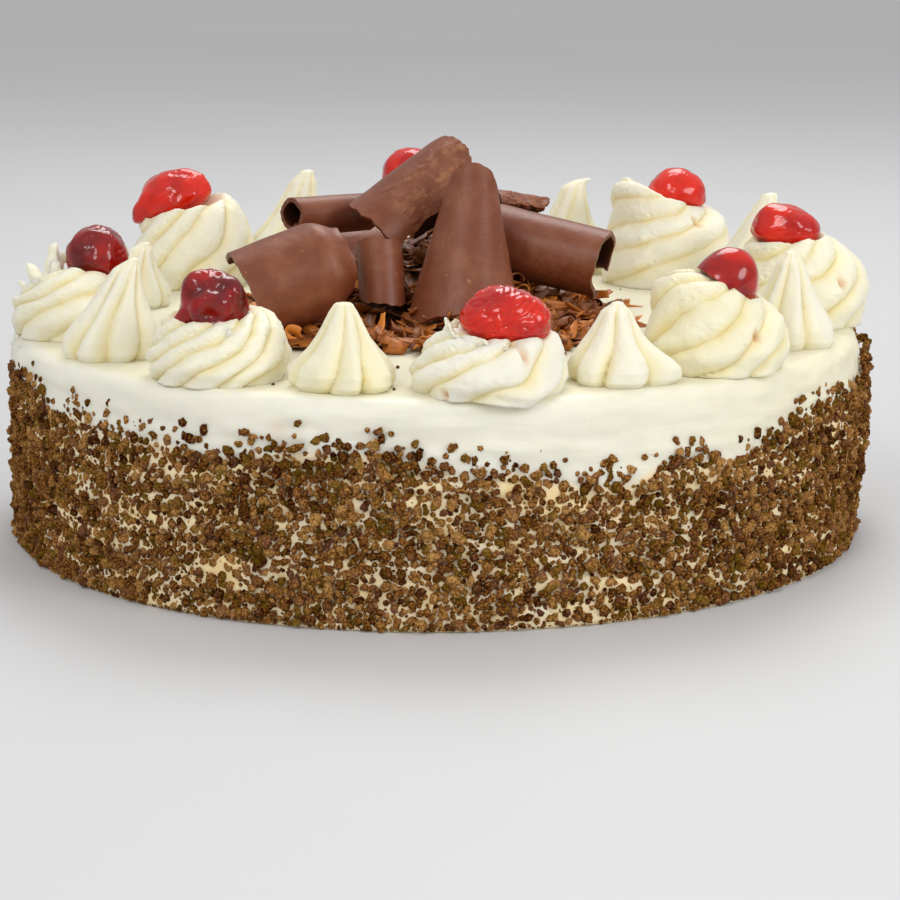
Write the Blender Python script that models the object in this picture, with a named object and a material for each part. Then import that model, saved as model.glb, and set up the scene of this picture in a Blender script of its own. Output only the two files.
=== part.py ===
"""Black forest cake: a round layer cake under white cream, its side coated with chocolate crumbs.

Eight piped rosettes, each with a candied cherry, alternate with eight small piped kisses round the
rim, and a heap of chocolate curls stands on a bed of shavings in the middle.

The origin is the middle of the flat base, +Z is up, and the front of the cake faces -Y. Sizes are
in metres. Angles round the cake are in degrees from the front, positive towards +X.
"""

import math

import bmesh
import bpy
from mathutils import Matrix, Vector, noise

MM = 0.001
GAP = 0.3 * MM  # air between pieces that touch

# The frosted cake
CREAM_RADIUS = 117.5 * MM
CAKE_HEIGHT = 57.0 * MM
TOP_EDGE_RADIUS = 5.0 * MM
CRUMB_THICKNESS = 2.0 * MM
CRUMB_LINE_FRONT = 41.0 * MM  # height of the crumb coat at the front and the back
CRUMB_LINE_RISE = 11.0 * MM  # how much higher it runs at the sides
CRUMB_LINE_WOBBLE = 2.0 * MM
CAKE_SEGMENTS = 72

# Piped cream stands this far above the base
PIPING_FLOOR = CAKE_HEIGHT + GAP

# angle, distance from the cake's axis, radius, height, first ridge's angle
ROSETTES = [
    (7.2, 101 * MM, 20.0 * MM, 14.5 * MM, 200),
    (45, 101 * MM, 18.8 * MM, 21.5 * MM, 245),
    (88, 100.8 * MM, 18.8 * MM, 24.5 * MM, 300),
    (135, 98 * MM, 20.2 * MM, 27.5 * MM, 340),
    (-178, 98 * MM, 18.6 * MM, 27.5 * MM, 20),
    (-132, 100 * MM, 18.6 * MM, 26.0 * MM, 75),
    (-78, 99 * MM, 18.8 * MM, 20.0 * MM, 120),
    (-33, 100 * MM, 18.8 * MM, 16.5 * MM, 160),
]
ROSETTE_RIDGES = 8
ROSETTE_TWIST = 150  # degrees that a ridge turns from the foot to the top
ROSETTE_RIDGE_DEPTH = 0.13  # of the radius
RIDGE_SAMPLES = 3  # points round each ridge

# angle, distance from the axis, radius, height, lean of the tip towards +X and towards +Y
KISSES = [
    (26, 101 * MM, 12.6 * MM, 20.0 * MM, -1 * MM, 0 * MM),
    (67, 102 * MM, 12.0 * MM, 25.0 * MM, 2 * MM, 0 * MM),
    (112, 98 * MM, 12.0 * MM, 31.0 * MM, 5 * MM, 0 * MM),
    (156, 99 * MM, 13.0 * MM, 30.0 * MM, 3 * MM, 0 * MM),
    (-153, 100 * MM, 14.2 * MM, 32.0 * MM, 5 * MM, 0 * MM),
    (-106, 92 * MM, 11.5 * MM, 18.5 * MM, 4 * MM, 0 * MM),
    (-56.5, 101.5 * MM, 12.6 * MM, 26.0 * MM, 5.5 * MM, 0 * MM),
    (-13, 101 * MM, 13.0 * MM, 21.0 * MM, 0 * MM, 0 * MM),
]
KISS_RIDGES = 7
KISS_TWIST = 25
KISS_RIDGE_DEPTH = 0.22

# One for each rosette: width, depth and height of the cherry, its shift from the rosette's middle
# towards +X and +Y, how deep it is sunk into the cream, and its tilt about X and about Y
CHERRIES = [
    (22.5 * MM, 18 * MM, 14 * MM, 4.2 * MM, -1 * MM, 3.3 * MM, 8, 6),
    (15.5 * MM, 15.5 * MM, 15.5 * MM, 2.2 * MM, -1 * MM, 6.0 * MM, 8, 36),
    (18.5 * MM, 17 * MM, 13 * MM, -3.5 * MM, 0 * MM, 4.4 * MM, 0, 10),
    (18 * MM, 17 * MM, 13 * MM, 4 * MM, 1 * MM, 6.2 * MM, -4, 10),
    (18 * MM, 17 * MM, 14 * MM, -4.5 * MM, 1 * MM, 4.0 * MM, 0, -10),
    (24.5 * MM, 18 * MM, 15 * MM, -5.5 * MM, 1 * MM, 6.9 * MM, -2, -20),
    (17.5 * MM, 17 * MM, 15 * MM, 5 * MM, 0 * MM, 5.7 * MM, 4, 6),
    (18 * MM, 17 * MM, 16 * MM, -1.5 * MM, -0.5 * MM, 5.0 * MM, 14, -6),
]

# Chocolate curls: name, the two ends of the roll's axis, the direction its back faces, the radius at
# each end, the angles that the roll starts and stops at, and how much the radius grows over a turn
CURLS = [
    ("curl_front", (7, -24, 57), (10.5, -10, 99.5), (0.05, -1, 0.3), 15.8, 6.2, -82, 80, 0),
    ("curl_left", (-52, -36, 69.5), (-24.5, -25, 78.0), (-0.3, -0.65, 0.7), 12.3, 13.2, -78, 125, 3),
    ("curl_slab", (-18, -3, 79.5), (8, 12, 98.5), (-0.35, -0.8, 0.45), 12.0, 11.0, -62, 60, 0),
    ("curl_post", (-13, -25, 57), (-15.5, -18, 82), (-0.2, -1, 0.1), 5.6, 6.0, -100, 100, 0),
    ("curl_right", (17, 7, 79), (47, -4.5, 73.2), (0.1, -0.7, 0.7), 9.8, 9.6, -150, 150, 0),
    ("curl_roll", (-40, -4, 86.8), (-19, 13, 86.2), (0.1, -0.4, 1), 5.2, 5.0, -250, 170, 1.6),
    ("curl_prop", (-37, 8, 57), (-35, 9, 74), (-0.6, 0.5, 0), 8.0, 7.4, -120, 120, 0),
    ("curl_ridge", (17, 21, 83), (32, 22, 81.5), (0.2, 0.2, 1), 8.0, 7.0, -70, 60, 0),
    ("curl_back", (2, 46, 56), (4, 31, 95), (0.1, 1, 0.5), 14.0, 8.0, -80, 80, 0),
    ("curl_back_left", (-17, 50, 67.5), (-41, 38, 67), (-0.1, 0.6, 0.7), 10.0, 9.5, -140, 130, 0),
]
CURL_THICKNESS = 1.5 * MM

# The heap of shavings under the curls: each ring's share of the radius, its height and how far its
# middle lies behind the cake's axis
BED_RADIUS = 54 * MM
BED_RINGS = [
    (1.0, 0.0, 0.0),
    (0.97, 1.5 * MM, 0.0),
    (0.74, 2.4 * MM, 3 * MM),
    (0.50, 7 * MM, 9 * MM),
    (0.27, 17 * MM, 13 * MM),
]
BED_MIDDLE_HEIGHT = 22 * MM
BED_SEGMENTS = 36
BED_UNEVENNESS = 0.12

COLOURS = {
    "cream": ((0.87, 0.85, 0.74), 0.45),
    "cherry": ((0.45, 0.015, 0.01), 0.15),
    "chocolate": ((0.13, 0.05, 0.03), 0.4),
    "shavings": ((0.11, 0.04, 0.02), 0.5),
    "crumb_coat": ((0.16, 0.09, 0.045), 0.8),
}


def clear_scene():
    for obj in list(bpy.data.objects):
        bpy.data.objects.remove(obj)


def material(name):
    """The material of that name, made the first time it is asked for."""
    found = bpy.data.materials.get(name)
    if found:
        return found
    colour, roughness = COLOURS[name]
    made = bpy.data.materials.new(name)
    made.use_nodes = True
    shader = made.node_tree.nodes["Principled BSDF"]
    shader.inputs["Base Color"].default_value = (*colour, 1)
    shader.inputs["Roughness"].default_value = roughness
    shader.inputs["Metallic"].default_value = 0
    return made


def add_object(name, verts, faces, finish, sharp_angle=50):
    """A closed mesh object with outward faces, smooth but for its sharp edges."""
    mesh = bpy.data.meshes.new(name)
    mesh.from_pydata(verts, [], faces)
    shape = bmesh.new()
    shape.from_mesh(mesh)
    bmesh.ops.recalc_face_normals(shape, faces=shape.faces)
    shape.to_mesh(mesh)
    shape.free()
    mesh.shade_smooth()
    mesh.set_sharp_from_angle(angle=math.radians(sharp_angle))
    mesh.materials.append(material(finish))
    obj = bpy.data.objects.new(name, mesh)
    bpy.context.scene.collection.objects.link(obj)
    return obj


def ring_faces(ring_count, ring_size):
    """Quads between rings of points, and a fan on each end point, which come before and after them."""
    faces = []
    for i in range(ring_size):
        j = (i + 1) % ring_size
        faces.append((0, 1 + j, 1 + i))
        for ring in range(ring_count - 1):
            low = 1 + ring * ring_size
            high = low + ring_size
            faces.append((low + i, low + j, high + j, high + i))
        last = 1 + (ring_count - 1) * ring_size
        faces.append((last + i, last + j, last + ring_size))
    return faces


def round_the_cake(angle, distance, height):
    """The point at that angle from the front, distance from the axis and height."""
    turn = math.radians(angle)
    return Vector((distance * math.sin(turn), -distance * math.cos(turn), height))


def crumb_line(turn):
    """Height of the crumb coat's uneven upper edge, at an angle in radians from the front."""
    wobble = noise.noise(Vector((4 * math.sin(turn), 4 * math.cos(turn), 0.5)))
    return CRUMB_LINE_FRONT + CRUMB_LINE_RISE * math.sin(turn) ** 2 + CRUMB_LINE_WOBBLE * wobble


def make_cake():
    """The frosted drum: crumb coat to its uneven line, cream above it, a round top edge, a flat top."""
    coat_radius = CREAM_RADIUS + CRUMB_THICKNESS
    shoulder = CAKE_HEIGHT - TOP_EDGE_RADIUS
    verts = [(0, 0, 0)]
    rings = 0
    coat_levels = [(0.0, -0.8 * MM), (0.05, 0.0), (0.5, 0.0), (0.96, -0.2 * MM)]
    for share, inset in coat_levels:
        rings += 1
        for i in range(CAKE_SEGMENTS):
            turn = 2 * math.pi * i / CAKE_SEGMENTS
            relief = 0.5 * MM * noise.noise(Vector((9 * math.sin(turn), 9 * math.cos(turn), 5 * share)))
            radius = coat_radius + inset + relief
            verts.append((radius * math.sin(turn), -radius * math.cos(turn), share * crumb_line(turn)))
    rings += 1
    for i in range(CAKE_SEGMENTS):
        turn = 2 * math.pi * i / CAKE_SEGMENTS
        height = min(crumb_line(turn), shoulder)
        verts.append((CREAM_RADIUS * math.sin(turn), -CREAM_RADIUS * math.cos(turn), height))
    for step in range(4):
        bend = math.pi / 2 * step / 3
        radius = CREAM_RADIUS - TOP_EDGE_RADIUS * (1 - math.cos(bend))
        height = shoulder + TOP_EDGE_RADIUS * math.sin(bend) + (0.3 * MM if step == 0 else 0)
        rings += 1
        for i in range(CAKE_SEGMENTS):
            turn = 2 * math.pi * i / CAKE_SEGMENTS
            verts.append((radius * math.sin(turn), -radius * math.cos(turn), height))
    verts.append((0, 0, CAKE_HEIGHT))
    return add_object("cake", verts, ring_faces(rings, CAKE_SEGMENTS), "crumb_coat")


def piped_mesh(outline, ridges, twist, depth, first=0.0, lean=(0, 0)):
    """Points and faces of a piped shape: an outline of (radius, height, share of ridge depth) turned
    about Z, with round ridges and sharp grooves that climb and turn by twist degrees."""
    count = ridges * RIDGE_SAMPLES
    top = outline[-1][1]
    verts = [(0, 0, 0)]
    for radius, height, ridge_share in outline[:-1]:
        climb = height / top
        phase = math.radians(first + twist * climb)
        for i in range(count):
            turn = 2 * math.pi * i / count + phase
            crest = abs(math.sin(math.pi * i / RIDGE_SAMPLES))
            reach = radius * (1 - depth * ridge_share * (1 - crest))
            verts.append(
                (
                    reach * math.sin(turn) + lean[0] * climb**2,
                    -reach * math.cos(turn) + lean[1] * climb**2,
                    height,
                )
            )
    verts.append((lean[0], lean[1], top))
    return verts, ring_faces(len(outline) - 1, count)


def rosette_outline(radius, height):
    """A low dome with a tucked foot, which flattens where the cherry sits."""
    outline = [(0.90 * radius, 0.0, 1.0)]
    levels = [5, 24, 42, 58, 72, 84]
    for degrees in levels:
        bend = math.radians(degrees)
        outline.append((radius * math.cos(bend) ** 0.68, height * math.sin(bend) ** 0.82, 1.0))
    outline.append((0.0, height, 0.0))
    return outline


def kiss_outline(radius, height):
    """A drop with a tucked foot that runs up to a fine tip."""
    shares = [(0.0, 0.88), (0.12, 1.0), (0.32, 0.86), (0.55, 0.56), (0.78, 0.27)]
    outline = [(radius * share, height * level, 1.0) for level, share in shares]
    outline.append((0.0, height, 0.0))
    return outline


def make_piping():
    """The rosettes and kisses round the rim. Gives the rosettes, which the cherries are set in."""
    rosettes = []
    for number, (angle, distance, radius, height, first) in enumerate(ROSETTES, 1):
        verts, faces = piped_mesh(
            rosette_outline(radius, height), ROSETTE_RIDGES, ROSETTE_TWIST, ROSETTE_RIDGE_DEPTH, first
        )
        rosette = add_object(f"rosette_{number}", verts, faces, "cream")
        rosette.location = round_the_cake(angle, distance, PIPING_FLOOR)
        rosettes.append(rosette)
    for number, (angle, distance, radius, height, lean_x, lean_y) in enumerate(KISSES, 1):
        verts, faces = piped_mesh(
            kiss_outline(radius, height), KISS_RIDGES, KISS_TWIST, KISS_RIDGE_DEPTH, 0, (lean_x, lean_y)
        )
        kiss = add_object(f"kiss_{number}", verts, faces, "cream")
        kiss.location = round_the_cake(angle, distance, PIPING_FLOOR)
    return rosettes


def cherry_mesh(width, depth, height, seed, grow=0.0):
    """A candied cherry: a round top, a flatter underside and a slightly puckered skin."""
    sides, bands = 12, 5
    low_share = 0.35  # of the height that lies below the widest part
    verts = [(0, 0, -low_share * height - grow)]
    for band in range(1, bands + 1):
        bend = -math.pi / 2 + math.pi * band / (bands + 1)
        for i in range(sides):
            turn = 2 * math.pi * i / sides
            out = Vector((math.cos(turn) * math.cos(bend), math.sin(turn) * math.cos(bend), math.sin(bend)))
            pucker = 1 + 0.05 * noise.noise(2.2 * out + Vector((seed, 0, 0)))
            tall = (1 - low_share) * height if out.z > 0 else low_share * height
            verts.append(
                (
                    out.x * (width / 2 * pucker + grow),
                    out.y * (depth / 2 * pucker + grow),
                    out.z * (tall * pucker + grow),
                )
            )
    verts.append((0, 0, (1 - low_share) * height + grow))
    return verts, ring_faces(bands, sides)


def make_cherries(rosettes):
    """A cherry in each rosette, in a pocket of its own shape with a fine gap round it."""
    for number, (rosette, shape, cherry) in enumerate(zip(rosettes, ROSETTES, CHERRIES), 1):
        width, depth, height, shift_x, shift_y, sunk, tilt_x, tilt_y = cherry
        verts, faces = cherry_mesh(width, depth, height, number)
        berry = add_object(f"cherry_{number}", verts, faces, "cherry", sharp_angle=70)
        lift = shape[3] + 0.35 * height - sunk
        berry.location = rosette.location + Vector((shift_x, shift_y, lift))
        berry.rotation_euler = (math.radians(tilt_x), math.radians(tilt_y), 0)
        verts, faces = cherry_mesh(width, depth, height, number, grow=GAP)
        pocket = add_object(f"pocket_{number}", verts, faces, "cream")
        pocket.location = berry.location
        pocket.rotation_euler = berry.rotation_euler
        pocket.hide_render = True
        pocket.display_type = "WIRE"
        cut = rosette.modifiers.new("pocket", "BOOLEAN")
        cut.object = pocket
        cut.operation = "DIFFERENCE"


def curl_frame(start, end, back):
    """Rotation whose Z runs along the roll's axis and whose X is its back's direction."""
    along = (end - start).normalized()
    facing = (back - back.dot(along) * along).normalized()
    across = along.cross(facing)
    return Matrix((facing, across, along)).transposed()


def make_curl(name, start, end, back, start_radius, end_radius, first, last, growth):
    """A rolled shaving of chocolate: a strip of even thickness bent round its axis, with torn ends."""
    start, end = Vector(start) * MM, Vector(end) * MM
    turns = last - first
    around = max(8, round(turns / 24))
    lengthwise = 3
    length = (end - start).length
    frame = curl_frame(start, end, Vector(back))
    seed = Vector((len(name), start.x / MM, 0))
    layers = []
    for inset in (0.0, CURL_THICKNESS):
        for step in range(lengthwise + 1):
            share = step / lengthwise
            for i in range(around + 1):
                degrees = first + turns * i / around
                turn = math.radians(degrees)
                radius = (start_radius + (end_radius - start_radius) * share) * MM - inset
                radius += growth * MM * degrees / 360
                tear = 1.2 * MM * noise.noise(seed + Vector((turn * 1.7, 3 * share, 0)))
                along = length * share + tear * (2 * share - 1)
                local = Vector((radius * math.cos(turn), radius * math.sin(turn), along))
                layers.append(start + frame @ local)
    row = around + 1
    layer = row * (lengthwise + 1)
    faces = []
    for step in range(lengthwise):
        for i in range(around):
            low = step * row + i
            faces.append((low, low + 1, low + row + 1, low + row))
            faces.append((low + layer, low + layer + row, low + layer + row + 1, low + layer + 1))
    for i in range(around):
        for low in (i, lengthwise * row + i):
            faces.append((low, low + layer, low + layer + 1, low + 1))
    for step in range(lengthwise):
        for low in (step * row, step * row + around):
            faces.append((low, low + row, low + row + layer, low + layer))
    return add_object(name, layers, faces, "chocolate", sharp_angle=60)


def bed_mesh(grow=0.0, skirt=0.0):
    """The heap of shavings, out to its uneven outline. A skirt carries its rim outwards and down."""
    verts = [(0, 0, PIPING_FLOOR - skirt)]
    rings = [(share + grow / BED_RADIUS, rise + grow, back) for share, rise, back in BED_RINGS[1:]]
    if skirt:
        rings = [(2, -skirt, 0), (2, grow, 0)] + rings
    else:
        rings = [BED_RINGS[0]] + rings
    for share, rise, back in rings:
        for i in range(BED_SEGMENTS):
            turn = 2 * math.pi * i / BED_SEGMENTS
            out = Vector((math.sin(turn), -math.cos(turn), 0))
            ragged = 1 + BED_UNEVENNESS * noise.noise(3 * out)
            bump = 1 + BED_UNEVENNESS * noise.noise(6 * out) if rise > 1 * MM else 1
            radius = BED_RADIUS * share * ragged
            verts.append((radius * out.x, radius * out.y + back, PIPING_FLOOR + rise * bump))
    verts.append((0, BED_RINGS[-1][2], PIPING_FLOOR + BED_MIDDLE_HEIGHT + grow))
    return verts, ring_faces(len(rings), BED_SEGMENTS)


def make_heap():
    """The bed of shavings and the curls, each cut clear of the bed it stands in."""
    verts, faces = bed_mesh()
    add_object("shavings", verts, faces, "shavings", sharp_angle=80)
    verts, faces = bed_mesh(grow=GAP, skirt=20 * MM)
    clearance = add_object("bed_clearance", verts, faces, "shavings")
    clearance.hide_render = True
    clearance.display_type = "WIRE"
    for settings in CURLS:
        curl = make_curl(*settings)
        cut = curl.modifiers.new("bed", "BOOLEAN")
        cut.object = clearance
        cut.operation = "DIFFERENCE"


def main():
    clear_scene()
    make_cake()
    make_cherries(make_piping())
    make_heap()


main()
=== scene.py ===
import math
import random

import bmesh
import bpy
import numpy as np
from mathutils import Matrix, Vector, noise


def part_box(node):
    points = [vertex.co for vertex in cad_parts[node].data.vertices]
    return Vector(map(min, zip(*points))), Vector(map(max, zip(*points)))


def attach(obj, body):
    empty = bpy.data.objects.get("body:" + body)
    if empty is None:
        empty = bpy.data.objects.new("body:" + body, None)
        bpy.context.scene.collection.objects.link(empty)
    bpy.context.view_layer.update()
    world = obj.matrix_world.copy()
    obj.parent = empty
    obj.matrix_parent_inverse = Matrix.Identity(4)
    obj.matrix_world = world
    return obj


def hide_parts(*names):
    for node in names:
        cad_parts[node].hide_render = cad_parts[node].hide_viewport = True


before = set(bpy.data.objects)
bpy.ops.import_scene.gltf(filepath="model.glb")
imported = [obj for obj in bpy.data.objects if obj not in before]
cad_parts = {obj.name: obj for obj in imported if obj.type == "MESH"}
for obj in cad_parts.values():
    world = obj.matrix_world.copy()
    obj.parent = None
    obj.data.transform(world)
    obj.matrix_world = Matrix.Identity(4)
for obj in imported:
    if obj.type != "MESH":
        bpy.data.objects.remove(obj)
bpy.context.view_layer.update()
mm = 0.001


class Val:
    # an output socket of a material, with arithmetic
    def __init__(self, paint, socket):
        self.paint = paint
        self.socket = socket

    def join(self, kind, first, second):
        return self.paint.node("ShaderNodeMath", {"operation": kind}, {0: first, 1: second})

    def __add__(self, other):
        return self.join("ADD", self, other)

    def __sub__(self, other):
        return self.join("SUBTRACT", self, other)

    def __mul__(self, other):
        return self.join("MULTIPLY", self, other)

    def clip(self, low, high):
        # 0 below low, 1 above high, smooth between
        settings = {"interpolation_type": "SMOOTHSTEP"}
        return self.paint.node("ShaderNodeMapRange", settings, {0: self, 1: low, 2: high})


class Paint:
    # a Principled material that is built node by node
    def __init__(self, name, **fixed):
        self.material = bpy.data.materials.new(name)
        self.material.use_nodes = True
        self.tree = self.material.node_tree
        self.shader = self.tree.nodes["Principled BSDF"]
        self.fill(self.shader, fixed)
        self.place = self.node("ShaderNodeTexCoord", out="Object")

    def fill(self, node, inputs):
        for key, value in inputs.items():
            socket = node.inputs[key.replace("_", " ") if isinstance(key, str) else key]
            if isinstance(value, Val):
                self.tree.links.new(value.socket, socket)
            else:
                socket.default_value = value

    def node(self, kind, settings=None, inputs=None, out=0):
        made = self.tree.nodes.new(kind)
        for key, value in (settings or {}).items():
            if key == "stops":
                ramp = made.color_ramp.elements
                while len(ramp) < len(value):
                    ramp.new(0.5)
                for stop, (spot, colour) in zip(ramp, value):
                    stop.position = spot
                    stop.color = (*colour, 1)
            else:
                setattr(made, key, value)
        self.fill(made, inputs or {})
        return Val(self, made.outputs[out])

    def noise(self, scale, detail=4, roughness=0.55, distortion=0.0, place=None):
        inputs = {
            "Vector": place or self.place,
            "Scale": scale,
            "Detail": detail,
            "Roughness": roughness,
            "Distortion": distortion,
        }
        return self.node("ShaderNodeTexNoise", None, inputs)

    def stretched(self, scale):
        return self.node("ShaderNodeMapping", None, {"Vector": self.place, "Scale": scale})

    def attribute(self, name):
        return self.node("ShaderNodeAttribute", {"attribute_name": name}, out="Fac")

    def blend(self, share, first, second):
        settings = {"data_type": "RGBA"}
        first, second = ((*c, 1) if isinstance(c, tuple) else c for c in (first, second))
        return self.node("ShaderNodeMix", settings, {0: share, 6: first, 7: second}, out=2)

    def ramp(self, share, look):
        stops = list(zip(look["stops"], (look["dark"], look["middle"], look["light"])))
        return self.node("ShaderNodeValToRGB", {"stops": stops}, {"Fac": share})

    def bump(self, height, strength, distance, normal=None):
        inputs = {"Strength": strength, "Distance": distance, "Height": height}
        if normal:
            inputs["Normal"] = normal
        return self.node("ShaderNodeBump", None, inputs)

    def finish(self, **varying):
        self.fill(self.shader, varying)
        return self.material


def deselectAll():
    if bpy.context.object and bpy.context.object.mode != "OBJECT":
        bpy.ops.object.mode_set(mode="OBJECT")
    bpy.ops.object.select_all(action="DESELECT")


def pick(obj):
    # makes it the one selected object
    deselectAll()
    obj.select_set(True)
    bpy.context.view_layer.objects.active = obj


def settle(obj):
    # the place, turn and size go into the mesh
    pick(obj)
    bpy.ops.object.transform_apply(location=True, rotation=True, scale=True)


def editMode(kind="VERT"):
    bpy.ops.object.mode_set(mode="EDIT")
    bpy.ops.mesh.select_mode(type=kind)


def selectEdges(obj, wanted):
    # selects in edit mode the edges whose middle and direction pass the test
    shape = bmesh.from_edit_mesh(obj.data)
    for face in shape.faces:
        face.select = False
    for edge in shape.edges:
        a, b = edge.verts[0].co, edge.verts[1].co
        edge.select = bool(wanted((a + b) / 2, b - a))
    shape.select_flush_mode()
    bmesh.update_edit_mesh(obj.data)


def selectFaces(obj, wanted):
    shape = bmesh.from_edit_mesh(obj.data)
    for vert in shape.verts:
        vert.select = False
    for face in shape.faces:
        face.select = bool(wanted(face.calc_center_median(), face.normal))
    shape.select_flush(True)
    bmesh.update_edit_mesh(obj.data)


def points(obj):
    flat = np.empty(len(obj.data.vertices) * 3, dtype=np.float32)
    obj.data.vertices.foreach_get("co", flat)
    return flat.reshape(-1, 3).astype(float)


def setPoints(obj, spots):
    obj.data.vertices.foreach_set("co", np.asarray(spots, dtype=np.float32).ravel())
    obj.data.update()


def setAttribute(obj, name, values):
    # one value for each point, or the same for all
    made = obj.data.attributes.new(name, "FLOAT", "POINT")
    spread = np.broadcast_to(values, len(obj.data.vertices))
    made.data.foreach_set("value", spread.astype(np.float32))


def ripple(spots, scale, shift=0.0):
    # smooth noise about -1 to 1 at each spot
    drift = Vector((shift, 0.37 * shift, -0.61 * shift))
    return np.array([noise.noise(Vector(s) * scale + drift) for s in spots])


def smooth(low, high, value):
    share = np.clip((value - low) / (high - low), 0, 1)
    return share * share * (3 - 2 * share)


def turnOf(spots):
    # which way each spot lies from the middle, 0 at the front
    return np.arctan2(spots[:, 0], -spots[:, 1])


def roundPoints(turn, third=0, wide=1):
    # where noise is read on a shape that closes round on itself
    return np.stack([wide * np.sin(turn), wide * np.cos(turn), third + 0 * turn], 1)


def flatPoints(first, second=0):
    # where noise is read along one or two directions
    return np.stack([first, second + 0 * first, 0 * first], 1)


def aroundSpots(reach, turn, height):
    return np.stack([reach * np.sin(turn), -reach * np.cos(turn), height], 1)


def aroundSpot(reach, turn, height):
    return Vector((reach * math.sin(turn), -reach * math.cos(turn), height))


def newBall(name, segments, rings):
    # a sphere of radius 1 with its points, their directions, and 0 under it to 1 on top of it
    deselectAll()
    bpy.ops.mesh.primitive_uv_sphere_add(segments=segments, ring_count=rings, radius=1)
    made = bpy.context.object
    made.name = name
    spots = points(made)
    return made, spots, turnOf(spots), np.arccos(np.clip(-spots[:, 2], -1, 1)) / np.pi


def newGrid(across, along, size=1):
    deselectAll()
    bpy.ops.mesh.primitive_grid_add(x_subdivisions=across, y_subdivisions=along, size=size)
    return bpy.context.object, points(bpy.context.object)


def tableOf(keys, rows):
    return {number: dict(zip(keys, row)) for number, row in rows.items()}


def hill(value, middle, width):
    # 1 at the middle, falling away smoothly over the width
    return np.exp(-(((value - middle) / width) ** 2))


def applyModifier(obj, kind, **settings):
    bpy.context.view_layer.objects.active = obj
    made = obj.modifiers.new(kind.title(), kind)
    for key, value in settings.items():
        setattr(made, key, value)
    bpy.ops.object.modifier_apply(modifier=made.name)


def editAll(obj):
    pick(obj)
    bpy.ops.object.mode_set(mode="EDIT")
    bpy.ops.mesh.select_all(action="SELECT")


def outward(obj):
    # closes doubles, then turns every face outwards
    editAll(obj)
    bpy.ops.mesh.remove_doubles(threshold=0.002 * mm)
    bpy.ops.mesh.normals_make_consistent(inside=False)
    bpy.ops.object.mode_set(mode="OBJECT")
    bpy.ops.object.shade_smooth()


def hand(obj, material, slot, *nodes):
    # gives a finished piece its material and its place in the part
    obj.data.materials.clear()
    obj.data.materials.append(material)
    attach(obj, "root")
    if nodes:
        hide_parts(*nodes)


def copiesAsOne(name, kinds, placings):
    # joins many copies of a few small shapes: kinds are (points, faces), and each placing is
    # (kind, matrix, tone)
    spots, faces, tones = [], [], []
    total = 0
    for kind, matrix, tone in placings:
        shape, loops = kinds[kind]
        turned = shape @ np.array(matrix.to_3x3()).T + np.array(matrix.translation)
        spots.append(turned)
        faces.append(loops + total)
        tones.append(np.full(len(shape), tone))
        total += len(shape)
    spots, faces = np.vstack(spots), np.vstack(faces)
    mesh = bpy.data.meshes.new(name)
    mesh.vertices.add(len(spots))
    mesh.vertices.foreach_set("co", spots.astype(np.float32).ravel())
    corners = faces.shape[1]
    mesh.loops.add(faces.size)
    mesh.loops.foreach_set("vertex_index", faces.astype(np.int32).ravel())
    mesh.polygons.add(len(faces))
    mesh.polygons.foreach_set("loop_start", np.arange(0, faces.size, corners, dtype=np.int32))
    mesh.update(calc_edges=True)
    mesh.validate()
    obj = bpy.data.objects.new(name, mesh)
    bpy.context.scene.collection.objects.link(obj)
    setAttribute(obj, "tone", np.concatenate(tones))
    return obj


def triangles(obj):
    # a modelled shape as plain arrays, for copiesAsOne
    obj.data.calc_loop_triangles()
    loops = np.empty(len(obj.data.loop_triangles) * 3, dtype=np.int32)
    obj.data.loop_triangles.foreach_get("vertices", loops)
    shape = points(obj)
    bpy.data.objects.remove(obj)
    return shape, loops.reshape(-1, 3)


def srgb(red, green, blue):
    # a colour as read off a chart, 0 to 255, made linear
    shares = (c / 255 for c in (red, green, blue))
    return tuple(c / 12.92 if c <= 0.04045 else ((c + 0.055) / 1.055) ** 2.4 for c in shares)


creamLook = {
    "crest": srgb(239, 236, 222),
    # painted shade: the yellow given to the grooves and hollows of the cream
    "hollow": srgb(240, 222, 150),
    "smear": srgb(230, 229, 215),
    # warm tint of the cream; on the cake's flat top it is also painted shade
    "warm": srgb(240, 231, 186),
    "peach": srgb(255, 222, 162),
    "stain": srgb(218, 150, 58),
    "roughness": 0.44,
}


def creamMaterial(name):
    look = creamLook
    paint = Paint(name, Subsurface_Weight=0.35, Subsurface_Scale=0.004, Specular_IOR_Level=0.3)
    paint.shader.inputs["Subsurface Radius"].default_value = (1.0, 0.85, 0.5)
    cloudy = paint.noise(60, 3)
    colour = paint.blend(cloudy.clip(0.35, 0.7), look["crest"], look["smear"])
    # warm tint, partly painted shade: the cake's flat top is made yellower with it
    colour = paint.blend(paint.attribute("warm") * (cloudy * 0.6 + 0.7), colour, look["warm"])
    # painted shade: grooves and hollows are blended towards the yellow shade colour
    colour = paint.blend(paint.attribute("hollow") * 0.85, colour, look["hollow"])
    colour = paint.blend(paint.attribute("peach"), colour, look["peach"])
    colour = paint.blend(paint.attribute("stain"), colour, look["stain"])
    grain = paint.noise(1100, 4, 0.65)
    strokes = paint.noise(70, 4, 0.6, 0.4, paint.stretched((1, 1, 5)))
    normal = paint.bump(strokes, 0.25, 0.0008, paint.bump(grain, 0.16, 0.0004))
    roughness = cloudy * 0.12 + (look["roughness"] - 0.06)
    return paint.finish(Base_Color=colour, Roughness=roughness, Normal=normal)


crumbLook = {
    "dark": srgb(54, 12, 0),
    "middle": srgb(148, 92, 32),
    "light": srgb(226, 172, 102),
    "olive": srgb(120, 98, 8),
    "plum": srgb(144, 98, 74),
    "stops": (0.18, 0.5, 0.9),
}


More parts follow.
